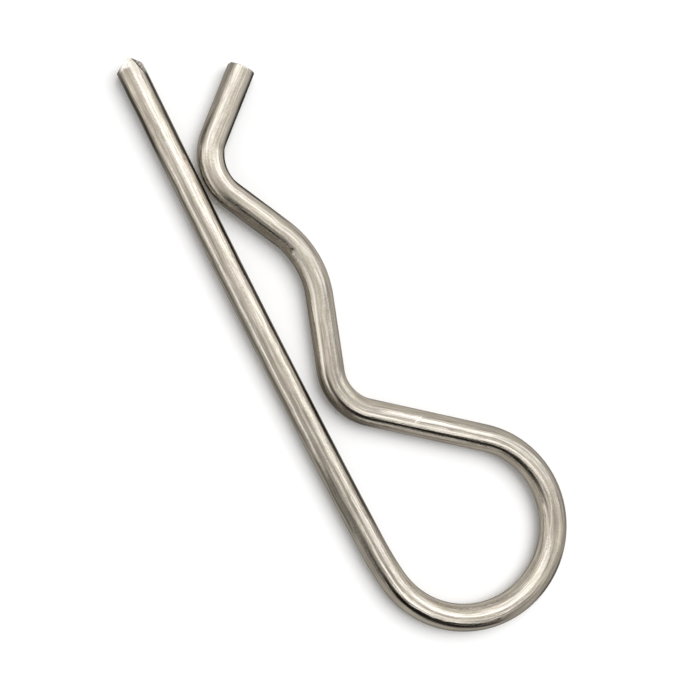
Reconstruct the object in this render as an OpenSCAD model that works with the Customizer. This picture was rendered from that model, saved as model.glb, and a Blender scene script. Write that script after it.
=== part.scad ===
// Hitch pin clip of the R pattern, bent from one length of round spring wire.
//
// The clip lies flat on z = 0. Its leg runs along X, from the cut tip at -X to the loop
// at +X. The sprung arm comes back over the leg on the +Y side: a throat, a saddle that
// hugs the hitch pin's shaft, a grip bend that rests on the leg, and a kicked-up end
// that guides the shaft in. The origin is the middle of the clip's outline, on the
// surface that it lies on. Sizes are in millimetres and angles in degrees.

/* [Wire] */
// Diameter of the spring wire
wire_d = 3; // [2.4:0.1:3.4]

/* [Leg] */
// Length of the leg, which goes through the hitch pin's cross hole
leg_len = 58; // [53:0.1:62]
// Straight stretch of the leg from its tip
tip_len = 10.5; // [8:0.1:14]
// Bow that forming leaves in the rest of the leg
leg_bow = 1.65; // [0.5:0.05:2.5]

/* [Loop] */
// Radius of the easy bend from the leg into the loop, to the middle of the wire
lead_r = 39; // [30:0.5:50]
// Turn of that easy bend
lead_turn = 6.7; // [4:0.1:9]
// Radius of the loop, to the middle of the wire
loop_r = 9.9; // [8.5:0.1:11.5]
// Turn of the loop
loop_turn = 222.8; // [218:0.2:227]

/* [Arm] */
// Radius of the throat, which turns the arm back along the leg
throat_r = 5.55; // [4:0.05:8]
// Turn of the throat
throat_turn = 69; // [65:0.5:73]
// Straight stretch from the throat up to the saddle
rise_len = 8; // [6:0.1:9.5]
// Radius of the saddle, to the middle of the wire
saddle_r = 10.5; // [9:0.1:13]
// Turn of the saddle
saddle_turn = 45.4; // [42:0.1:50]
// Straight stretch from the saddle down to the grip bend
fall_len = 6.5; // [4.5:0.1:8]
// Radius of the grip bend, which rests on the leg
grip_r = 5.55; // [4:0.05:7]
// Turn of the grip bend, up into the kicked end
grip_turn = 75.3; // [68:0.1:82]
// Length of the kicked-up end
kick_len = 7.9; // [5:0.1:10]
// Gap between the grip bend and the leg at rest
grip_gap = 0.2; // [0.05:0.05:0.5]

/* [Cut ends] */
// Distance of the tip's ridge from the middle of the wire, towards the arm
ridge_y = 0.15; // [0:0.05:0.8]
// Slant of the tip's face on the side away from the arm
outer_slant = 27; // [10:1:40]
// Slant of the tip's face on the arm's side
inner_slant = 28; // [10:1:40]
// Depth of the flat that the cutter's jaw pressed into the tip
jaw_depth = 0.4; // [0.1:0.05:0.6]
// Slope of the flat along the wire
jaw_slope = 9; // [6:1:20]
// Turn of the flat about the wire, from the arm's side up to the top
jaw_roll = 28; // [0:1:60]
// Radius of the corner that the shear rolled over at the arm's end
roll_r = 0.5; // [0.2:0.05:0.8]

/* [Quality] */
// Sides of the round wire
wire_sides = 64; // [24:8:128]
// Length of the steps along a bend
bend_step = 0.5; // [0.4:0.1:1.5]

/* [Hidden] */

wire_r = wire_d / 2;
margin = 2 * wire_d;   // how far a cutter reaches past the wire
hair = 0.005;          // how much thinner a piece of wire is that is let into others
lap = 0.05;            // how deep it is let into them
outwards = 90;         // heading of the wire at the loop's far end
homewards = 180;       // heading of the wire where it runs back along the leg

// The wire's path is a list of runs and bends, each starting where the last one ends.
// A bend's turn is positive to the left, which is the arm's side of the leg.
function run(length) = [length, 0, 0];
function bend(radius, turn) = [0, radius, turn];
function turn_of(step) = step[2];

// How far a step carries the wire that enters it with a heading
function span(step, heading) =
    let (turn = turn_of(step), leaving = heading + turn)
    turn == 0
        ? step[0] * [cos(heading), sin(heading)]
        : sign(turn) * step[1]
            * [sin(leaving) - sin(heading), cos(heading) - cos(leaving)];

// The heading that a path ends with, and the point where it ends
function final_heading(path, i = 0) =
    i == len(path) ? 0 : turn_of(path[i]) + final_heading(path, i + 1);
function end_point(path, i = 0, heading = 0) =
    i == len(path)
        ? [0, 0]
        : span(path[i], heading) + end_point(path, i + 1, heading + turn_of(path[i]));

// The path followed by a bend that stops where the wire has a given heading
function up_to(path, radius, heading) =
    concat(path, [bend(radius, heading - final_heading(path))]);

// The formed wire starts at the end of the leg's straight tip
bow_r = (leg_len - tip_len) / leg_bow * 180 / PI;
leg = [bend(bow_r, leg_bow), bend(lead_r, lead_turn)];
eye = concat(leg, [bend(loop_r, loop_turn)]);

// The arm, with a neck of any length between the loop and the throat
function arm(neck) = concat(eye, [
    run(neck),
    bend(throat_r, -throat_turn),
    run(rise_len),
    bend(saddle_r, saddle_turn),
    run(fall_len)
]);

// The neck's length is the one that brings the grip bend down to its gap over the leg
grip_height = end_point(up_to(arm(0), grip_r, homewards))[1];
neck_len = (wire_d + grip_gap - grip_height) / sin(final_heading(eye));
formed = concat(arm(neck_len), [bend(grip_r, -grip_turn)]);

// Outline of the clip, from the tip to the loop's far end and up to the loop's top
length = tip_len + end_point(up_to(leg, loop_r, outwards))[0] + wire_r;
width = wire_r + end_point(up_to(leg, loop_r, homewards))[1] + wire_r;

// A straight piece of wire along X, let into its neighbours at both ends
module straight_wire(length) {
    translate([-lap, 0, 0])
        rotate([0, 90, 0])
            cylinder(h = length + 2 * lap, r = wire_r - hair, $fn = wire_sides);
}

// A bent piece of wire that starts out along X, and that may be let into its neighbours
module bent_wire(radius, turn, let_in) {
    side = sign(turn);
    extra = let_in ? lap / radius * 180 / PI : 0;
    section_r = let_in ? wire_r - hair : wire_r;
    translate([0, side * radius, 0])
        rotate_extrude(
            angle = abs(turn) + 2 * extra,
            start = (side > 0 ? -90 : 90 - abs(turn)) - extra,
            $fn = 2 * PI * radius / bend_step
        )
            translate([radius, 0])
                circle(r = section_r, $fn = wire_sides);
}

// Lays the wire along a path, and then what it is given, where the path ends. Every
// second piece is let into the ones before and after it, so that all join as one solid.
module lay(path, i = 0) {
    if (i == len(path)) {
        children();
    } else {
        step = path[i];
        if (turn_of(step) == 0) {
            straight_wire(step[0]);
        } else {
            bent_wire(step[1], turn_of(step), let_in = i % 2 == 1);
        }
        translate(span(step, 0))
            rotate(turn_of(step))
                lay(path, i + 1)
                    children();
    }
}

// All that the pinch cut takes off past one face of the tip. The face passes through
// the ridge and is turned from square to the wire.
module past_face(turn) {
    translate([0, ridge_y, 0])
        rotate(turn)
            translate([-margin, -margin, -margin])
                cube([margin, 2 * margin, 2 * margin]);
}

// The flat that the cutter's jaw pressed beside the ridge, running out along the wire
module jaw_flat() {
    rotate([jaw_roll, 0, 0])
        translate([0, wire_r - jaw_depth, 0])
            rotate(jaw_slope)
                translate([-margin, 0, -margin])
                    cube([2 * margin, margin, 2 * margin]);
}

// The tip of the leg, pinched off to a ridge across the wire
module tip() {
    difference() {
        straight_wire(tip_len);
        past_face(outer_slant);
        past_face(-inner_slant);
        jaw_flat();
    }
}

// All that a shear takes off past the arm's end, and the corner that it rolls over
module shear() {
    corner = roll_r + wire_d / 50;
    translate([0, 0, -margin])
        linear_extrude(2 * margin) {
            translate([0, -margin])
                square([margin, 2 * margin]);
            translate([-corner, wire_r - roll_r])
                difference() {
                    square(margin);
                    circle(r = corner, $fn = wire_sides);
                }
        }
}

// The kicked-up end of the arm, sheared off square, with one corner rolled over
module kicked_end() {
    difference() {
        straight_wire(kick_len);
        translate([kick_len, 0, 0])
            shear();
    }
}

// The whole clip, laid along its path between its two cut ends
module r_clip() {
    color("#b9b2a8")
        translate([-length / 2, wire_r - width / 2, wire_r]) {
            tip();
            translate([tip_len, 0, 0])
                lay(formed)
                    kicked_end();
        }
}

r_clip();
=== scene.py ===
# %% [markdown]
# # An R clip for a hitch pin, bent from one length of spring wire
#
# The clip is one piece of 3 mm round stainless wire. It lies flat on a sheet of white
# paper. This lesson grows the wire along its run of straights and bends, marks it as the
# cutter and the bending tools mark a real one, gives it a drawn steel finish, and lights
# it as a small studio would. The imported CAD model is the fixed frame: nothing here
# changes a size.

# %% The frame
from math import acos, ceil, copysign, cos, degrees, pi, radians, sin

import bpy
import numpy as np
from mathutils import Matrix, Vector


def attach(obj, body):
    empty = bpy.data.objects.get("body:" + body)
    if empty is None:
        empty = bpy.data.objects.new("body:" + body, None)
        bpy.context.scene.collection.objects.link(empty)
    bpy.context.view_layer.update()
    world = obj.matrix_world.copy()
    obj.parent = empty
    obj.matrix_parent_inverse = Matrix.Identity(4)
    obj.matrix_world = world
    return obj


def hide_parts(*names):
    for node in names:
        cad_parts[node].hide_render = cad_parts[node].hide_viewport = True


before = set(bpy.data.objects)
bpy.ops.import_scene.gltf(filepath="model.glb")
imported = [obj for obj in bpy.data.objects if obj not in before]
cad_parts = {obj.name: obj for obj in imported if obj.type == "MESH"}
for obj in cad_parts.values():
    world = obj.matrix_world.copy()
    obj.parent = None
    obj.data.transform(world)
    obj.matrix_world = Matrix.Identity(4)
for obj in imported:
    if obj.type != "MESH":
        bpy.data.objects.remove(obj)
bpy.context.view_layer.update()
print("CAD nodes", sorted(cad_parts))

# %% [markdown]
# ## The camera
#
# The camera looks down on the clip from 154 mm above, a little from the leg's side, so
# the wires show their tops and a trace of their flanks. It is made first, because
# everything later is judged through it. The lens is long enough to fill the view with
# the clip, and keeps the wire's ends from looking stretched.

# %% The camera
MM = 0.001
VIEW_RIGHT = Vector((0.440, 0.882, 0.166))      # where the view's right lies in the frame
VIEW_UP = Vector((-0.897, 0.441, 0.033))
CAMERA_AT = Vector((-6.45, -28.35, 154.28)) * MM
LOOKS_AT = Vector((0.35, -2.95, 1.5)) * MM
LENS = 75.95           # mm, for a film that is 36 mm wide
FILM = 36.0


def turned_to(right, up, back):
    """The turn of an object whose own axes point these three ways."""
    return Matrix((right, up, back)).transposed().to_4x4()


camera = bpy.data.objects.new("camera", bpy.data.cameras.new("camera"))
bpy.context.scene.collection.objects.link(camera)
camera.data.lens = LENS
camera.data.sensor_width = FILM
camera.data.clip_start = 0.01
camera.data.clip_end = 20
back = (CAMERA_AT - LOOKS_AT).normalized()
right = VIEW_UP.cross(back).normalized()
turn = turned_to(right, back.cross(right), back)
camera.matrix_world = Matrix.Translation(CAMERA_AT) @ turn
bpy.context.scene.camera = camera
print("camera looks down at", round(degrees(acos(back.z)), 1), "degrees off plumb")

# %% [markdown]
# ## The wire's way
#
# A wire former works from a list: feed so much wire, bend it round such a radius by so
# many degrees, feed again. The same list gives the centre line here, with the sizes of
# the CAD model. A turn to the left, towards the arm's side of the leg, is positive. The
# neck is the one length that isn't free: it brings the grip bend down onto the leg.

# %% The list of feeds and bends
RADIUS = 1.5           # of the wire, in mm as all lengths of the wire
WIRE_R = RADIUS * MM
LEG = 58.0
STRAIGHT_TIP = 10.5
BOW_TURN = 1.65        # degrees
GRIP_GAP = 0.2


def feed(length):
    return {"length": length, "radius": 0.0, "turn": 0.0}


def bend(radius, turn):
    return {"length": radius * radians(abs(turn)), "radius": radius, "turn": turn}


def wire_way(neck):
    """The whole list, from the leg's tip to the arm's kicked-up end, by name."""
    bow = LEG - STRAIGHT_TIP
    return {
        "tip": feed(STRAIGHT_TIP),
        "bow": bend(bow / radians(BOW_TURN), BOW_TURN),
        "lead": bend(39, 6.7),
        "loop": bend(9.9, 222.8),
        "neck": feed(neck),
        "throat": bend(5.55, -69),
        "rise": feed(8),
        "saddle": bend(10.5, 45.4),
        "fall": feed(6.5),
        "grip": bend(5.55, -75.3),
        "kick": feed(7.9),
    }


print("steps of the wire", list(wire_way(0.0)))


# %% Walking along the list
def walk(way, start=(0.0, 0.0)):
    """Each step's start, heading at the start, and distance along the wire there."""
    point, heading, along = np.array(start), 0.0, 0.0
    places = {}
    for name, step in way.items():
        places[name] = {"start": point, "heading": heading, "along": along, **step}
        turn = radians(step["turn"])
        if turn:
            side = copysign(step["radius"], turn)
            after = heading + turn
            point = point + side * np.array(
                [sin(after) - sin(heading), cos(heading) - cos(after)]
            )
        else:
            point = point + step["length"] * np.array([cos(heading), sin(heading)])
        heading, along = heading + turn, along + step["length"]
    places["end"] = {"start": point, "heading": heading, "along": along}
    return places


def grip_low(neck):
    """Height of the grip bend's lowest point over the leg's axis."""
    grip = walk(wire_way(neck))["grip"]
    return grip["start"][1] + grip["radius"] * (-cos(grip["heading"]) - 1)


loop_leaves = walk(wire_way(0.0))["neck"]["heading"]
NECK = (2 * RADIUS + GRIP_GAP - grip_low(0.0)) / sin(loop_leaves)
WAY = wire_way(NECK)
print("neck", round(NECK, 3), "mm; grip bend over the leg's axis", round(grip_low(NECK), 3))

# %% [markdown]
# The origin of the frame is the middle of the clip's outline, so the tip's place
# follows from the outline: the loop's far end and its top.

# %% Where each step of the wire is in the frame
loop = walk(WAY)["loop"]
loop_middle = loop["start"] + loop["radius"] * np.array(
    [-sin(loop["heading"]), cos(loop["heading"])]
)
outline = np.array(
    [loop_middle[0] + loop["radius"] + RADIUS, loop_middle[1] + loop["radius"] + 2 * RADIUS]
)
TIP_AT = np.array([-outline[0] / 2, RADIUS - outline[1] / 2])
PLACES = walk(WAY, TIP_AT)
WIRE_LENGTH = PLACES["end"]["along"]
print("tip at", TIP_AT.round(3), "outline", outline.round(3))
print("wire drawn out straight", round(WIRE_LENGTH, 1), "mm")

# %% [markdown]
# ## Growing the wire
#
# A curve with a round bevel would also give a tube, but its rings crowd on the inside of
# each bend and its ends can't be worked on. Here a ring of 64 points starts at the tip.
# Straights are extruded and bends are spun about their own centres, so each bend is a
# true arc. The operators only ever move the last ring, and the wire grows behind it.

# %% The ring at the tip
WIRE_SIDES = 64
SPARE = 1.0            # what the cutters take off before the tip, in mm

bpy.ops.object.select_all(action="DESELECT")
bpy.ops.mesh.primitive_circle_add(
    vertices=WIRE_SIDES,
    radius=WIRE_R,
    fill_type="NOTHING",
    location=((TIP_AT[0] - SPARE) * MM, TIP_AT[1] * MM, WIRE_R),
    rotation=(0, pi / 2, 0),
)
wire = bpy.context.object
wire.name = wire.data.name = "spring_wire"
bpy.ops.object.transform_apply(location=True, rotation=True, scale=True)
bpy.ops.object.mode_set(mode="EDIT")
bpy.ops.mesh.select_mode(type="VERT")
bpy.ops.mesh.select_all(action="SELECT")
print("a ring of", WIRE_SIDES, "points stands before the tip")

# %% Feeding and bending
RING_STEP = 0.2        # how far apart the rings of the wire are, in mm


def rings(place):
    return max(1, ceil(place["length"] / RING_STEP))


def feed_wire(place):
    count = rings(place)
    pace = place["length"] / count * MM
    heading = place["heading"]
    for _ in range(count):
        bpy.ops.mesh.extrude_region_move(
            TRANSFORM_OT_translate={"value": (pace * cos(heading), pace * sin(heading), 0)}
        )


def bend_wire(place):
    side = copysign(place["radius"], place["turn"])
    heading = place["heading"]
    middle = place["start"] + side * np.array([-sin(heading), cos(heading)])
    bpy.ops.mesh.spin(
        steps=rings(place),
        angle=-radians(place["turn"]),
        center=(middle[0] * MM, middle[1] * MM, WIRE_R),
        axis=(0, 0, 1),
    )


feed_wire({"length": SPARE, "heading": 0.0})
for name in WAY:
    if PLACES[name]["turn"]:
        bend_wire(PLACES[name])
    else:
        feed_wire(PLACES[name])
bpy.ops.object.mode_set(mode="OBJECT")
print("wire has", len(wire.data.vertices), "points after bending")

# %% [markdown]
# ## Wire coordinates
#
# The finish of drawn wire runs along it, round every bend. So each point also gets its
# place in the wire as it was before bending: how far along, how far to the left of the
# middle, and how far up. They are read back from the centre line, by finding the step
# whose middle the point is nearest to. A straight ends where its bend begins, or else
# it would claim the points on the outside of the bend, and every drawn line would jog.

# %% Beside a straight and beside a bend
PAST_THE_ENDS = {"tip": (1, 0), "kick": (0, 1)}        # before a step and after it, in mm


def directions(name):
    """Ahead and to the left, where a step of the wire starts."""
    heading = PLACES[name]["heading"]
    return np.array([cos(heading), sin(heading)]), np.array([-sin(heading), cos(heading)])


def beside_straight(name, flat):
    """How far along a straight flat points are, how far to its left, and the spots of
    its middle line that they are nearest to."""
    place, (ahead, aside) = PLACES[name], directions(name)
    before, after = PAST_THE_ENDS.get(name, (0, 0))
    away = flat - place["start"]
    along = np.clip(away @ ahead, -before, place["length"] + after)
    return along, away @ aside, place["start"] + np.outer(along, ahead)


def beside_bend(name, flat):
    """The same for a bend."""
    place, (ahead, aside) = PLACES[name], directions(name)
    side = copysign(1, place["turn"])
    middle = place["start"] + side * place["radius"] * aside
    away = flat - middle
    angle = np.arctan2(away @ ahead, -side * (away @ aside))
    angle = np.where(angle < -pi / 2, angle + 2 * pi, angle)
    angle = np.clip(angle, 0, radians(abs(place["turn"])))
    spots = middle + place["radius"] * (
        np.outer(np.sin(angle), ahead) - side * np.outer(np.cos(angle), aside)
    )
    return angle * place["radius"], side * (place["radius"] - np.hypot(*away.T)), spots


# %% From a point of the clip to its place in the straight wire
TIE = 1e-6             # how much nearer a later step has to be, in mm


def unbend(points):
    """Rows of (along, left, up) in mm for rows of points in the frame, in mm."""
    flat = points[:, :2]
    nearest = np.full(len(points), np.inf)
    found = np.zeros((len(points), 3))
    for name in WAY:
        beside = beside_bend if PLACES[name]["turn"] else beside_straight
        along, left, spots = beside(name, flat)
        far = np.hypot(*(flat - spots).T)
        closer = far < nearest - TIE
        nearest = np.where(closer, far, nearest)
        rows = np.c_[PLACES[name]["along"] + along, left, points[:, 2] - RADIUS]
        found[closer] = rows[closer]
    return found


def points_of(piece):
    flat = np.empty(3 * len(piece.data.vertices))
    piece.data.vertices.foreach_get("co", flat)
    return flat.reshape(-1, 3) / MM


straight = unbend(points_of(wire))
from_middle = np.hypot(*straight[:, 1:].T)
print("along", straight[:, 0].min().round(2), straight[:, 0].max().round(2))
print("section radius", from_middle.min().round(4), "to", from_middle.max().round(4), "mm")

# %% [markdown]
# ## The cut ends
#
# The leg's tip was pinched off between two jaws: its face falls away to both sides of a
# ridge, and one jaw pressed a shallow flat beside the ridge. The arm's end was sheared
# off square, and the blade rolled one corner over. Each of these is one plane or a few,
# and each plane is one bisect that clears what lies past it and fills the cut. The wire
# is closed before the first cut, so that every cut leaves it closed.

# %% Choosing points and cutting
CLOSE = 1e-7           # how near a cut a point counts as lying on it, in metres


def choose(piece, rows):
    """Selects the points of a piece that rows says, and their edges and faces."""
    bpy.ops.object.mode_set(mode="EDIT")
    bpy.ops.mesh.select_mode(type="VERT")
    bpy.ops.mesh.select_all(action="DESELECT")
    bpy.ops.object.mode_set(mode="OBJECT")
    piece.data.vertices.foreach_set("select", rows)
    bpy.ops.object.mode_set(mode="EDIT")


def stretch_of_wire(first, last):
    along = unbend(points_of(wire))[:, 0]
    return (along > first) & (along < last)


def cut(stretch, through, facing):
    """Clears what lies past a plane on a stretch of the wire, and fills the cut."""
    choose(wire, stretch_of_wire(*stretch))
    bpy.ops.mesh.bisect(
        plane_co=through, plane_no=facing, use_fill=True, clear_outer=True, threshold=CLOSE
    )
    bpy.ops.object.mode_set(mode="OBJECT")


# %% Both ends are closed
A_RING = 0.01          # how much wire holds one ring and no more, in mm
BEFORE, AFTER = -2, WIRE_LENGTH + 1    # past the wire's two ends, in mm along it

for stretch in ((BEFORE, A_RING - SPARE), (WIRE_LENGTH - A_RING, AFTER)):
    choose(wire, stretch_of_wire(*stretch))
    bpy.ops.mesh.edge_face_add()
bpy.ops.mesh.select_all(action="SELECT")
bpy.ops.mesh.normals_make_consistent(inside=False)
bpy.ops.object.mode_set(mode="OBJECT")
print("closed wire has", len(wire.data.polygons), "faces")


# %% Places and directions beside the wire
def place_at(name, along, left, up=0.0):
    ahead, aside = directions(name)
    x, y = PLACES[name]["start"] + along * ahead + left * aside
    return Vector((x, y, RADIUS + up)) * MM


def facing_at(name, along, left, up=0.0):
    ahead, aside = directions(name)
    x, y = along * ahead + left * aside
    return Vector((x, y, up)).normalized()


print("the tip looks to", tuple(facing_at("tip", -1, 0)))

# %% The pinched tip
RIDGE = 0.15
TIP_FACES = (27, -28)          # slant of the tip's two faces from square, in degrees
TIP_LEAN, LEAN_FROM = 69, 1.21  # degrees, and how far over the middle it begins, in mm
FACES_WITHIN = (BEFORE, 4)     # the stretch of wire that these cuts are made in


def tip_facing(slant, lean=0):
    """The way that a face of the tip looks, if it slants and leans back, in degrees."""
    slant, lean = radians(slant), radians(lean)
    return facing_at("tip", -cos(slant) * cos(lean), -sin(slant) * cos(lean), sin(lean))


for slant in TIP_FACES:
    cut(FACES_WITHIN, place_at("tip", 0, RIDGE), tip_facing(slant))

# The far jaw leaned, so the upper part of its face leans too
cut(
    FACES_WITHIN, place_at("tip", 0, RIDGE, LEAN_FROM),
    tip_facing(TIP_FACES[0], TIP_LEAN),
)
print("two faces and a leaning one leave", len(wire.data.vertices), "points")

# %% The flat that the jaw pressed
JAW_DEPTH = 0.4
JAW_SLOPE, JAW_ROLL = 9, 28    # degrees along the wire, and from its left side upwards
FLAT_WITHIN = (BEFORE, 5)

roll, slope = radians(JAW_ROLL), radians(JAW_SLOPE)
depth = RADIUS - JAW_DEPTH
cut(
    FLAT_WITHIN, place_at("tip", 0, depth * cos(roll), depth * sin(roll)),
    facing_at("tip", -sin(slope), cos(slope) * cos(roll), cos(slope) * sin(roll)),
)
print("pinched tip leaves", len(wire.data.vertices), "points")

# %% The sheared end and its rolled corner
END_ROLL = 0.56
END_BEVEL = 0.09       # the edge that tumbling the clips takes off
ROLL_MIDDLE = (-END_ROLL, 1.0)         # along from the arm's end, and to the left
ROLL_STEPS = (78, 66, 54, 42, 30, 18)  # degrees round the corner, from the flank on
END_WITHIN = (WIRE_LENGTH - 3, AFTER)
A_HAIR = 0.001         # how much wire holds the end face and no more

for degrees_round in ROLL_STEPS:
    ahead, aside = cos(radians(degrees_round)), sin(radians(degrees_round))
    cut(
        END_WITHIN,
        place_at("end", ROLL_MIDDLE[0] + END_ROLL * ahead, ROLL_MIDDLE[1] + END_ROLL * aside),
        facing_at("end", ahead, aside),
    )
choose(wire, stretch_of_wire(WIRE_LENGTH - A_HAIR, AFTER))
bpy.ops.mesh.bevel(offset=END_BEVEL * MM, segments=2, affect="EDGES")
bpy.ops.object.mode_set(mode="OBJECT")
print("sheared end leaves", len(wire.data.vertices), "points")

# %% [markdown]
# ## Dents and worn places
#
# Forming leaves marks: the pin of the bender presses a flat on the inside of each tight
# bend, its edge nicks the wire, and the wires knock together in their box. They are a
# weight per point, deepest at 1, and one Displace modifier presses them in. It moves
# points straight in, so the clip never grows.

# %% The marks and their places
# Where along, where to the left, half length, half width and depth, all in mm
DENTS = (
    (134.9, 0.95, 0.22, 0.34, 0.08), (135.5, 1.15, 0.45, 0.16, 0.05),
    (109.2, -0.42, 0.24, 0.36, 0.08), (90.1, 1.0, 0.5, 0.14, 0.05),
    (149.6, -1.3, 0.35, 0.3, 0.07), (149.0, 0.1, 0.9, 0.6, 0.018),
    (82.6, -1.05, 0.35, 0.16, 0.05), (12.0, 0.9, 0.14, 0.14, 0.05),
    (3.2, -0.9, 0.5, 0.12, 0.03), (31.0, 0.35, 1.1, 0.10, 0.015),
    (52.0, -0.2, 0.8, 0.09, 0.015), (70.5, 0.25, 0.3, 0.2, 0.02),
    (118.6, 1.05, 1.2, 0.25, 0.03), (127.0, 0.3, 0.5, 0.12, 0.02),
    (141.0, 0.75, 2.2, 0.35, 0.02), (153.4, -0.5, 0.3, 0.18, 0.02),
)
# Steps whose inside the bender's pin pressed flat, and how deep
FLATS = {"throat": 0.05, "saddle": 0.03, "grip": 0.05}
FLAT_EASE = 1.5        # over how many mm a flat begins and ends along the wire
FLAT_FROM, FLAT_SIDE = 1.3, 0.2        # how far inside it begins, and over how many mm
TOP_EASE = 0.4         # over how many mm of height a dent fades out, at the middle height
DEEPEST = 0.09
UNTOUCHED = (1.5, 1)   # how near the tip and the arm's end nothing is pressed, in mm


def eased(value):
    value = np.clip(value, 0, 1)
    return value * value * (3 - 2 * value)


print(len(DENTS), "dents and", len(FLATS), "flats")

# %% How deep each point is pressed
straight = unbend(points_of(wire))
along, left, up = straight.T
pressed = np.zeros(len(straight))
for at, aside, long, wide, deep in DENTS:
    shape = np.exp(-(((along - at) / long) ** 2) - ((left - aside) / wide) ** 2)
    pressed += deep * shape * eased(up / TOP_EASE + 0.5)
for name, deep in FLATS.items():
    place = PLACES[name]
    into = np.minimum(along - place["along"], place["along"] + place["length"] - along)
    inner = left * copysign(1, place["turn"])
    pressed += deep * eased(into / FLAT_EASE) * eased((inner - FLAT_FROM) / FLAT_SIDE)
between_ends = (along > UNTOUCHED[0]) & (along < WIRE_LENGTH - UNTOUCHED[1])
pressed = np.where(between_ends, np.minimum(pressed / DEEPEST, 1), 0)
print("points pressed in", int((pressed > 0.02).sum()), "deepest", round(pressed.max(), 2))

# %% Pressing them in
FAINTEST = 0.002       # the least weight that is worth pressing
SHARP = 28             # degrees between faces from which their edge stays sharp

marks = wire.vertex_groups.new(name="marks")
for index in np.flatnonzero(pressed > FAINTEST):
    marks.add([int(index)], float(pressed[index]), "REPLACE")
press = wire.modifiers.new("press", "DISPLACE")
press.vertex_group = marks.name
press.mid_level = 0.0
press.strength = -DEEPEST * MM
bpy.ops.object.modifier_apply(modifier=press.name)
bpy.ops.object.shade_smooth_by_angle(angle=radians(SHARP))
print("pressed wire has", len(wire.data.vertices), "points")

# %% The wire coordinates go with the mesh
straight = unbend(points_of(wire))
drawn = wire.data.attributes.new("drawn", "FLOAT_VECTOR", "POINT")
drawn.data.foreach_set("vector", straight.ravel().astype(np.float32))
print("drawn out, the wire reaches from", straight.min(0).round(2), "to", straight.max(0).round(2))

# %% So does which faces are cuts
TIP_WITHIN, END_FROM = 2, WIRE_LENGTH - 1      # mm along the wire
TIP_FACES_BACK, END_FACES_ON = -0.5, 0.25      # how much a cut face looks along the wire


def of_faces(piece, what):
    flat = np.empty(3 * len(piece.data.polygons))
    piece.data.polygons.foreach_get(what, flat)
    return flat.reshape(-1, 3)


normals = of_faces(wire, "normal")
face_along = unbend(of_faces(wire, "center") / MM)[:, 0]
is_cut = (face_along < TIP_WITHIN) & (normals[:, 0] < TIP_FACES_BACK)
end_ahead = directions("end")[0]
is_cut |= (face_along > END_FROM) & (normals[:, :2] @ end_ahead > END_FACES_ON)
sheared = wire.data.attributes.new("sheared", "FLOAT", "FACE")
sheared.data.foreach_set("value", is_cut.astype(np.float32))
print("faces", len(is_cut), "of them cuts", int(is_cut.sum()))

# %% [markdown]
# ## Drawn steel
#
# Drawing pulls the wire through a die, which leaves fine lines along it and a satin
# skin between bright and dull. The lines are noise that is stretched along the wire,
# read from the wire coordinates, so it follows the bends. The helpers come first: one
# adds a node with its inputs, and the others are the few sums that masks are made of.


# %% Adding nodes
def new_material(name):
    material = bpy.data.materials.new(name)
    material.use_nodes = True
    material.node_tree.nodes.clear()
    return material, material.node_tree


def add(tree, kind, inputs=None, **settings):
    """A node with its settings and inputs; an input is a value or another node's output."""
    node = tree.nodes.new(kind)
    for key, value in settings.items():
        setattr(node, key, value)
    for key, value in (inputs or {}).items():
        socket = node.inputs[key]
        if isinstance(value, bpy.types.NodeSocket):
            tree.links.new(value, socket)
        else:
            socket.default_value = value
    return node


def noise(tree, vector, detail=2.0, rough=0.5, scale=1.0):
    return add(
        tree, "ShaderNodeTexNoise",
        {"Vector": vector, "Scale": scale, "Detail": detail, "Roughness": rough},
    ).outputs["Fac"]


def blend(tree, factor, first, second):
    """From a first colour at 0 to a second one at 1."""
    return add(
        tree, "ShaderNodeMix", {"Factor": factor, "A": first, "B": second},
        data_type="RGBA",
    ).outputs[2]


steel, tree = new_material("drawn_steel")
print("made the material", steel.name)


# %% The sums that masks are made of
def sums(tree, operation, *values):
    """One Math node: its operation on up to three values."""
    return add(
        tree, "ShaderNodeMath", dict(enumerate(values)), operation=operation
    ).outputs["Value"]


def between(tree, value, low, high, to_low, to_high):
    """Goes evenly from to_low, where the value is low, to to_high, where it is high."""
    return add(
        tree, "ShaderNodeMapRange",
        {"Value": value, "From Min": low, "From Max": high, "To Min": to_low,
         "To Max": to_high},
    ).outputs["Result"]


def rise(tree, value, edge, soft):
    """0 before an edge, 1 past it."""
    return add(
        tree, "ShaderNodeMapRange",
        {"Value": value, "From Min": edge - soft / 2, "From Max": edge + soft / 2},
        interpolation_type="SMOOTHSTEP",
    ).outputs["Result"]


def within(tree, value, low, high, soft):
    """1 between two edges, 0 outside them."""
    past = sums(tree, "SUBTRACT", 1.0, rise(tree, value, high, soft))
    return sums(tree, "MULTIPLY", rise(tree, value, low, soft), past)


# %% The place in the wire, and the same place as it wanders
WANDER = 0.5           # mm from side to side
wire_place = add(tree, "ShaderNodeAttribute", attribute_name="drawn").outputs["Vector"]


def stretched(along, across, vector=wire_place):
    """The place in the wire, as so many cells of noise per mm along it and across it."""
    return add(
        tree, "ShaderNodeVectorMath",
        {0: vector, 1: (along, across, across)}, operation="MULTIPLY",
    ).outputs["Vector"]


wander = noise(tree, stretched(0.35, 0.3), 3)
wander = sums(tree, "MULTIPLY_ADD", wander, WANDER, -WANDER / 2)
axes = add(tree, "ShaderNodeSeparateXYZ", {"Vector": wire_place}).outputs
along, left, up = axes["X"], axes["Y"], axes["Z"]
wandering = add(
    tree, "ShaderNodeCombineXYZ",
    {"X": along, "Y": sums(tree, "ADD", left, wander), "Z": sums(tree, "ADD", up, wander)},
).outputs["Vector"]
print("places in the wire take", len(tree.nodes), "nodes")

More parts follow.
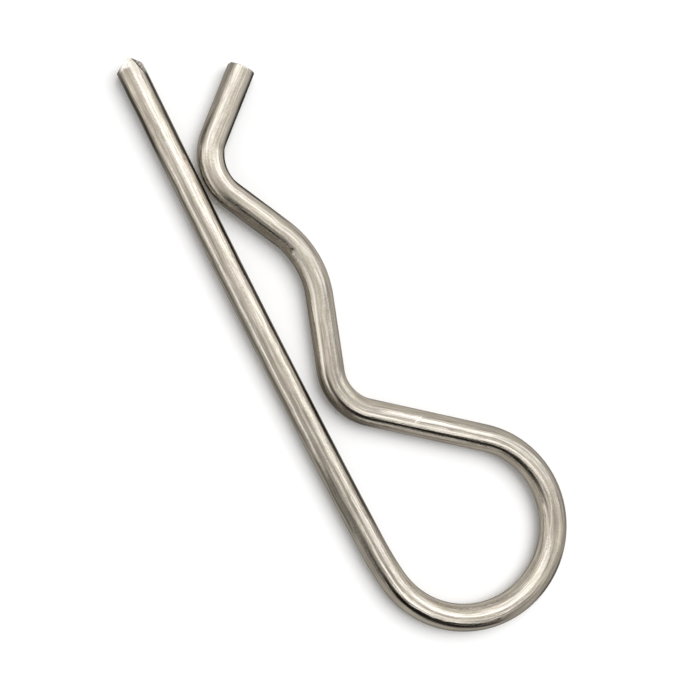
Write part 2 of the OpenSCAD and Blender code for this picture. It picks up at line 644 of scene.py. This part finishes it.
# %% Patterns that follow the wire, from the finest to the broadest
hairlines = noise(tree, stretched(0.35, 14), 4, 0.6)
threads = noise(tree, stretched(0.22, 5.5, wandering), 2, 0.6)
peel = noise(tree, stretched(4.5, 4.5), 2, 0.6)
stain = noise(tree, stretched(0.30, 4.2), 3, 0.6)
streaks = noise(tree, stretched(0.10, 2.6, wandering), 2)
ripples = noise(tree, stretched(1.6, 1.6), 2)
mottle = noise(tree, stretched(0.5, 0.9), 3, 0.6)
print("with its patterns the steel has", len(tree.nodes), "nodes")

# %% [markdown]
# A shear doesn't draw the steel, it tears it. So the cut faces get patterns of their own:
# fine upright lines, by the place in the frame, and only where a face is a cut.

# %% Cut faces are torn in fine upright lines
TEARS = (6500, 6500, 800)      # cells of noise per metre, two ways across and upwards

is_sheared = add(tree, "ShaderNodeAttribute", attribute_name="sheared").outputs["Fac"]
upright = add(
    tree, "ShaderNodeVectorMath",
    {0: add(tree, "ShaderNodeTexCoord").outputs["Object"], 1: TEARS},
    operation="MULTIPLY",
).outputs["Vector"]
torn = sums(tree, "MULTIPLY", noise(tree, upright, 3, 0.6), is_sheared)
print("cut faces are torn in", TEARS[0] * MM, "cells per mm")

# %% Height of the skin, in mm
SKIN = ((streaks, 0.030), (threads, 0.018), (ripples, 0.014), (peel, 0.011),
        (hairlines, 0.0015), (torn, 0.03))

skin_height = 0.0
for pattern, depth in SKIN:
    skin_height = sums(tree, "MULTIPLY_ADD", pattern, depth, skin_height)
skin_normal = add(
    tree, "ShaderNodeBump", {"Strength": 1.0, "Distance": MM, "Height": skin_height}
).outputs["Normal"]
print("with its skin the steel has", len(tree.nodes), "nodes")

# %% [markdown]
# Dark lines along the sides of the wire are painted shade and painted reflections of dark
# surroundings. With them lie smears of lubricant that the die burnt in and handling spread.
# These dark lines and smears are soft-edged bands of the wire coordinates, on the upper side
# and the flanks. They wander with the same noise as the streaks, and the stains break them.
# Other lines are painted highlights, and a few are lines that rubbing burnished bright.

# %% Bands that follow the wire
EDGE, EDGE_SOFT = 0.6, 0.8     # where a band's edge lies, and how soft, in half widths
LOWEST, LOWEST_SOFT = -0.65, 0.5       # height in mm where bands end, and how softly
wobbling = sums(tree, "MULTIPLY_ADD", wander, 0.35, left)


def bands(tree, rows):
    """The strongest of the bands at each point. A band's numbers are: from and to along
    the wire, where it fades, its middle to the left, how far that drifts per mm, its half
    width, all in mm, and its strength."""
    strongest = 0.0
    for first, last, fade, middle, drift, half, strength in rows:
        middle = sums(tree, "MULTIPLY_ADD", along, drift, middle - first * drift)
        aside = sums(tree, "ABSOLUTE", sums(tree, "SUBTRACT", wobbling, middle))
        beside = sums(tree, "SUBTRACT", 1.0, rise(tree, aside, half * EDGE, half * EDGE_SOFT))
        band = sums(tree, "MULTIPLY", beside, within(tree, along, first, last, fade))
        strongest = sums(
            tree, "MAXIMUM", strongest, sums(tree, "MULTIPLY", band, strength)
        )
    return sums(tree, "MULTIPLY", strongest, rise(tree, up, LOWEST, LOWEST_SOFT))


# %% Painted shade lines and smears on the leg
# Each row darkens the wire: painted shade and painted reflections of dark surroundings along the
# flanks, and burnt-in smears
ON_THE_TIP = (
    (0.5, 12, 6, -1.34, 0.0, 0.24, 0.9), (0.1, 2.6, 0.4, 0.50, 0.33, 0.14, 0.85),
    (0.30, 0.62, 0.1, 1.12, -1.6, 0.09, 1.0), (0.66, 1.00, 0.1, 1.22, -1.6, 0.09, 1.0),
    (1.04, 1.38, 0.1, 1.30, -1.6, 0.09, 1.0), (1.42, 1.70, 0.1, 1.34, -1.6, 0.09, 0.9),
    (1.9, 30, 0.8, 1.22, 0.0, 0.25, 0.93),
)
ON_THE_LEG = (
    (12, 57, 8, 1.22, 0.0, 0.25, 0.93), (8, 46, 8, -1.28, 0.0, 0.18, 0.62),
    (14, 46, 8, -0.45, 0.0, 0.15, 0.26), (46.5, 56, 3, -1.22, 0.0, 0.16, 0.65),
    (44, 56, 6, -0.52, 0.0, 0.34, 0.30), (48, 62, 4, -0.88, 0.01, 0.50, 0.60),
    (40, 63, 5, 0.05, 0.0, 0.24, 0.36),
)
print(len(ON_THE_TIP), "on the tip and", len(ON_THE_LEG), "on the rest of the leg")

# %% Painted shade lines and smears on the loop and the arm
ON_THE_LOOP = (
    (60.5, 76, 3, -0.70, -0.010, 0.25, 0.93), (66, 71, 1.5, 0.13, -0.01, 0.07, 0.30),
    (71, 74, 1.5, -0.10, -0.05, 0.07, 0.35), (80, 84.5, 2, -1.15, 0.0, 0.20, 0.75),
    (72, 82, 3, -0.22, 0.0, 0.13, 0.36), (82, 91, 3, 0.18, 0.0, 0.20, 0.26),
    (89.6, 92, 1, 0.85, -0.03, 0.16, 0.45), (91, 98, 2, 0.92, -0.04, 0.30, 0.62),
    (89, 104, 4, -0.85, 0.0, 0.80, 0.22), (91, 101, 3, -0.46, 0.0, 0.25, 0.36),
    (96, 121, 3, 0.64, 0.0, 0.20, 0.80), (98, 112, 3, -0.16, 0.0, 0.12, 0.45),
)
ON_THE_ARM = (
    (103, 116, 4, 1.22, 0.0, 0.10, 0.40), (101, 114, 3, -0.86, 0.0, 0.18, 0.22),
    (113, 121, 4, 1.38, 0.0, 0.28, 0.72), (116, 121, 2, 1.00, 0.0, 0.26, 0.35),
    (113, 121, 2, -0.36, 0.0, 0.30, 0.48), (120, 130, 3, -0.35, 0.0, 0.36, 0.34),
    (119, 137, 4, -0.62, 0.0, 0.62, 0.22), (128, 138, 3, -0.38, 0.0, 0.20, 0.34),
    (119, 149, 5, 1.42, 0.0, 0.20, 0.50), (122, 133, 3, 0.60, 0.0, 0.08, 0.25),
    (134.6, 135, 0.2, 0.95, 0.0, 0.30, 0.45), (134, 146, 4, 0.66, 0.0, 0.60, 0.22),
    (135, 145, 3, 0.60, 0.0, 0.38, 0.46), (132.5, 137, 1.5, -1.0, 0.0, 0.12, 0.35),
    (138, 150, 4, -1.36, 0.0, 0.28, 0.95), (149.4, 160, 0.6, -1.40, 0.0, 0.26, 0.97),
    (142, 148, 3, 1.62, 0.0, 0.24, 0.80), (149.6, 160, 1, 1.08, 0.0, 0.44, 0.46),
    (135.5, 145, 3, 1.44, 0.010, 0.14, 0.70),
)
print(len(ON_THE_LOOP), "on the loop and", len(ON_THE_ARM), "on the arm")

# %% All of them, broken by the stains
broken = between(tree, stain, 0.35, 0.6, 0.86, 1.0)
shade_and_smears = bands(tree, ON_THE_TIP + ON_THE_LEG + ON_THE_LOOP + ON_THE_ARM)
shade_and_smears = sums(tree, "MULTIPLY", shade_and_smears, broken)
print("with its smears the steel has", len(tree.nodes), "nodes")

# %% Bright lines: painted highlights, and a few where rubbing has burnished the skin
# Each row lightens the wire: mostly painted highlights, with a few rubbed scratches
HIGHLIGHT_AND_BURNISHED_LINES = (
    (0.1, 1.0, 0.3, 0.15, -1.5, 0.45, 0.9), (0.2, 2.0, 0.4, 1.15, 0.0, 0.60, 0.8),
    (1, 20, 8, 0.02, 0.0, 0.24, 0.6), (12, 46, 8, -0.83, 0.0, 0.14, 0.9),
    (60, 68, 2, -0.20, 0.0, 0.12, 0.55), (65, 72, 2, 0.52, -0.03, 0.12, 0.55),
    (70.5, 75, 1.5, -0.34, -0.04, 0.10, 0.65), (72, 84.5, 3, 0.33, 0.0, 0.12, 0.5),
    (84, 87.5, 1.5, 0.40, 0.12, 0.11, 0.55), (86.5, 90.5, 1.5, 0.80, -0.12, 0.10, 0.65),
    (92, 102, 3, 0.18, 0.0, 0.12, 0.5), (94, 102, 2, -0.78, 0.04, 0.13, 0.5),
    (101, 115, 3, 0.16, 0.0, 0.12, 0.55), (101, 112, 3, -0.48, 0.0, 0.12, 0.5),
    (103, 116, 4, 0.94, 0.0, 0.08, 0.5), (108.7, 109.35, 0.12, -0.82, 1.27, 0.17, 0.8),
    (119, 134, 2, 0.90, -0.012, 0.13, 0.95), (133.4, 134.6, 0.5, 0.80, 0.0, 0.45, 0.6),
    (126, 134, 3, 0.72, 0.0, 0.34, 0.40), (136, 144, 2, 0.86, 0.0, 0.12, 0.6),
    (139, 149, 4, -0.62, 0.0, 0.14, 0.4), (143, 149, 2, 1.10, 0.0, 0.28, 0.5),
    (150, 160, 2, -0.95, 0.0, 0.24, 0.5), (150, 160, 2, -0.62, 0.0, 0.10, 0.35),
)
highlights_and_burnish = bands(tree, HIGHLIGHT_AND_BURNISHED_LINES)
print(len(HIGHLIGHT_AND_BURNISHED_LINES), "burnished lines")

# %% [markdown]
# The colour is laid on from the bare metal outwards: pinkish and yellowish patches, dull
# stains, the dull and the bright of the threads, then the painted highlights and burnished
# lines, the painted shade and burnt-in smears, and the cut faces over all. The metal stays a
# metal all over. Even a line of painted shade is only a very dark one, because a coat of soot
# on it would look dusty.

# %% The colours of the steel
PINKISH, YELLOWISH = (0.72, 0.66, 0.595, 1), (0.695, 0.66, 0.565, 1)
BRIGHT, DULL = (0.98, 0.95, 0.90, 1), (0.40, 0.37, 0.325, 1)
# The darkest colour: painted shade along the flanks, and burnt-in smears
SHADE_AND_BURNT = (0.012, 0.010, 0.008, 1)
TORN, SHINING = (0.56, 0.54, 0.51, 1), (0.95, 0.93, 0.90, 1)

shade = blend(tree, between(tree, mottle, 0.4, 0.6, 0, 1), PINKISH, YELLOWISH)
shade = blend(tree, between(tree, stain, 0.38, 0.62, 0.65, 0), shade, DULL)
shade = blend(tree, between(tree, threads, 0.34, 0.52, 0.45, 0), shade, DULL)
shade = blend(tree, between(tree, threads, 0.55, 0.68, 0, 0.40), shade, BRIGHT)
# Painted highlights lighten the colour, together with a few burnished lines
shade = blend(tree, highlights_and_burnish, shade, BRIGHT)
# Painted shade and painted reflections darken the flanks, together with burnt-in smears
shade = blend(tree, shade_and_smears, shade, SHADE_AND_BURNT)
cut_shade = blend(tree, between(tree, torn, 0.35, 0.6, 0, 1), TORN, SHINING)
shade = blend(tree, is_sheared, shade, cut_shade)
print("with its colours the steel has", len(tree.nodes), "nodes")

# %% The steel
SATIN = (0.10, 0.18)           # roughness between the hairlines and on them
# The bands of painted shade and smears are made a little rougher
SHADE_AND_SMEARS_ROUGHER, CUT_ROUGHER = 0.05, 0.22

roughness = between(tree, hairlines, 0.3, 0.7, *SATIN)
roughness = sums(tree, "MULTIPLY_ADD", shade_and_smears, SHADE_AND_SMEARS_ROUGHER, roughness)
roughness = sums(tree, "MULTIPLY_ADD", is_sheared, CUT_ROUGHER, roughness)
skin = add(
    tree, "ShaderNodeBsdfPrincipled",
    {"Base Color": shade, "Metallic": 1.0, "Specular Tint": (0.5, 0.5, 0.5, 1),
     "Roughness": roughness, "Normal": skin_normal},
)
add(tree, "ShaderNodeOutputMaterial", {"Surface": skin.outputs["BSDF"]})
wire.data.materials.clear()
wire.data.materials.append(steel)
print("steel has", len(tree.nodes), "nodes")

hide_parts("r_clip")
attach(wire, "root")

# %% [markdown]
# ## The paper and the light
#
# White paper lies under the clip. One soft window lights it from the view's right, high
# up, so the paper is white and the shadow falls on its left and below. The metal is
# another matter: it shows the room. So the window lights the paper only, and the metal
# gets a room of its own, with windows and dark places where a bench has them.

# %% The paper
PAPER_SIZE = 6         # metres
GRAIN = 2500           # fibres of the paper per metre
PAPER_DARK, PAPER_PALE = (0.90, 0.90, 0.90, 1), (0.93, 0.93, 0.93, 1)

bpy.ops.object.select_all(action="DESELECT")
bpy.ops.mesh.primitive_plane_add(size=PAPER_SIZE, location=(0, 0, 0))
paper = bpy.context.object
paper.name = paper.data.name = "paper"
white, tree = new_material("white_paper")
place_on_paper = add(tree, "ShaderNodeTexCoord").outputs["Object"]
fibres = noise(tree, place_on_paper, 3, 0.6, GRAIN)
sheet = add(
    tree, "ShaderNodeBsdfPrincipled",
    {"Base Color": blend(tree, fibres, PAPER_DARK, PAPER_PALE), "Roughness": 0.9,
     "Specular IOR Level": 0.2},
)
add(tree, "ShaderNodeOutputMaterial", {"Surface": sheet.outputs["BSDF"]})
paper.data.materials.append(white)
paper.visible_glossy = False
print("paper of", PAPER_SIZE, "m, its material of", len(tree.nodes), "nodes")

# %% The window over the paper
FLAT_RIGHT = Vector((VIEW_RIGHT.x, VIEW_RIGHT.y, 0)).normalized()
FLAT_UP = Vector((-FLAT_RIGHT.y, FLAT_RIGHT.x, 0))
WINDOW_SIDE = Vector((-0.34, 0.94, 0)).normalized()     # the side that it is on
WINDOW_OFF_PLUMB = 24                  # degrees, seen from the clip
WINDOW_FAR = 6.0                       # metres
WINDOW_SIZE = (5.6, 4.8)
WINDOW_RADIANCE = 3.8

lamp = bpy.data.lights.new("window", "AREA")
lamp.shape = "RECTANGLE"
lamp.size, lamp.size_y = WINDOW_SIZE
lamp.energy = WINDOW_RADIANCE * pi * WINDOW_SIZE[0] * WINDOW_SIZE[1]
window = bpy.data.objects.new("window", lamp)
bpy.context.scene.collection.objects.link(window)
off_plumb = radians(WINDOW_OFF_PLUMB)
towards = WINDOW_SIDE * sin(off_plumb) + Vector((0, 0, 1)) * cos(off_plumb)
across = WINDOW_SIDE.cross(towards).normalized()
turn = turned_to(across, towards.cross(across), towards)
window.matrix_world = Matrix.Translation(towards * WINDOW_FAR) @ turn
window.visible_glossy = False
print("window of", round(lamp.energy, 2), "W")

# %% [markdown]
# The room is drawn by direction. Two angles name a direction, as seen from the clip:
# how far off plumb it is towards the view's right, and how far towards its top.

# %% Directions in the room
room = bpy.data.worlds.new("room")
bpy.context.scene.world = room
room.use_nodes = True
tree = room.node_tree
tree.nodes.clear()
gaze = add(tree, "ShaderNodeTexCoord").outputs["Generated"]


def component(direction):
    """How much of the way one looks goes in a direction."""
    return add(
        tree, "ShaderNodeVectorMath", {0: gaze, 1: tuple(direction)},
        operation="DOT_PRODUCT",
    ).outputs["Value"]


def off_plumb_angle(direction):
    """Degrees off plumb towards a flat direction, for what is above the paper."""
    angle = sums(tree, "ARCTAN2", component(direction), skywards)
    return sums(tree, "MULTIPLY", angle, degrees(1))


skywards = component((0, 0, 1))
rightwards = off_plumb_angle(FLAT_RIGHT)
upwards = off_plumb_angle(FLAT_UP)
print("directions take", len(tree.nodes), "nodes")


# %% Colours and patches of the room
def tint(radiance, warmth=1.0):
    """A grey of a radiance, which gets warmer as warmth grows."""
    return (radiance * (1 + 0.04 * warmth), radiance, radiance * (1 - 0.06 * warmth), 1)


def patch(under, across, up, soft, colour):
    """Lays a soft-edged patch of one colour over the room."""
    inside = within(tree, rightwards, *across, soft)
    inside = sums(tree, "MULTIPLY", inside, within(tree, upwards, *up, soft))
    return blend(tree, inside, under, colour)


# %% The room's shades from its near side to its far side
# Degrees off plumb towards the view's top, and the radiance there
STOPS = {
    -90: 0.62, -72: 0.50, -56: 0.36, -40: 0.50, -22: 0.66, 1: 0.82, 7: 1.05, 13: 1.45,
    22: 1.65, 38: 1.62, 46: 1.14, 56: 0.86, 66: 0.74, 76: 0.64, 90: 0.55,
}
DAYLIGHT = 1.3         # the radiance from which a shade is a window's and not warm

shades = add(
    tree, "ShaderNodeValToRGB",
    {"Fac": between(tree, upwards, -90, 90, 0.0, 1.0)},
)
ramp = shades.color_ramp
for angle, radiance in STOPS.items():
    place = (angle + 90) / 180
    stop = ramp.elements[0] if angle == -90 else ramp.elements.new(place)
    stop.position = place
    stop.color = tint(radiance, 1.0 if radiance < DAYLIGHT else 0.0)
ramp.elements.remove(ramp.elements[-1])
print("room has", len(ramp.elements), "shades from near to far")

# %% Windows, walls and the dark shape of who looks on
# Across, up and soft edge in degrees, radiance, warmth
PATCHES = (
    ((-80, -24), (-82, -46), 8, 0.20, 1.5), ((-88, -58), (-65, 10), 10, 0.98, 1.0),
    ((-88, -68), (10, 40), 8, 0.90, 1.0), ((-80, -42), (24, 50), 10, 1.0, 1.0),
    ((62, 92), (-14, 50), 10, 0.62, 1.0), ((22, 58), (-21, -9), 6, 1.05, 1.0),
    ((-11, 23), (-32, -11), 5, 1.35, 0.3), ((-44, 14), (-62, -40), 4, 0.02, 3),
    ((8, 44), (-74, -48), 4, 0.03, 3),
)
shown = shades.outputs["Color"]
for across, up, soft, radiance, warmth in PATCHES:
    shown = patch(shown, across, up, soft, tint(radiance, warmth))
print("room has", len(PATCHES), "patches")

# %% The bench beneath, darker on the near side
BENCH_NEAR, BENCH_FAR = 0.49, 0.70
HORIZON, HORIZON_SOFT = 0.02, 0.08

far_side = rise(tree, component(FLAT_UP), 0.3, 0.8)
bench = blend(tree, far_side, tint(BENCH_NEAR), tint(BENCH_FAR))
around = blend(tree, rise(tree, skywards, HORIZON, HORIZON_SOFT), bench, shown)

# %% The paper and the camera get plainer surroundings than the metal
ON_THE_PAPER, BEHIND_IT_ALL = (0.52, 0.52, 0.52, 1), (0.96, 0.96, 0.96, 1)

rays = add(tree, "ShaderNodeLightPath").outputs
lit = blend(tree, rays["Is Diffuse Ray"], around, ON_THE_PAPER)
lit = blend(tree, rays["Is Camera Ray"], lit, BEHIND_IT_ALL)
background = add(tree, "ShaderNodeBackground", {"Color": lit})
add(tree, "ShaderNodeOutputWorld", {"Surface": background.outputs["Background"]})
bpy.context.scene.view_settings.view_transform = "Standard"
print("room has", len(tree.nodes), "nodes")
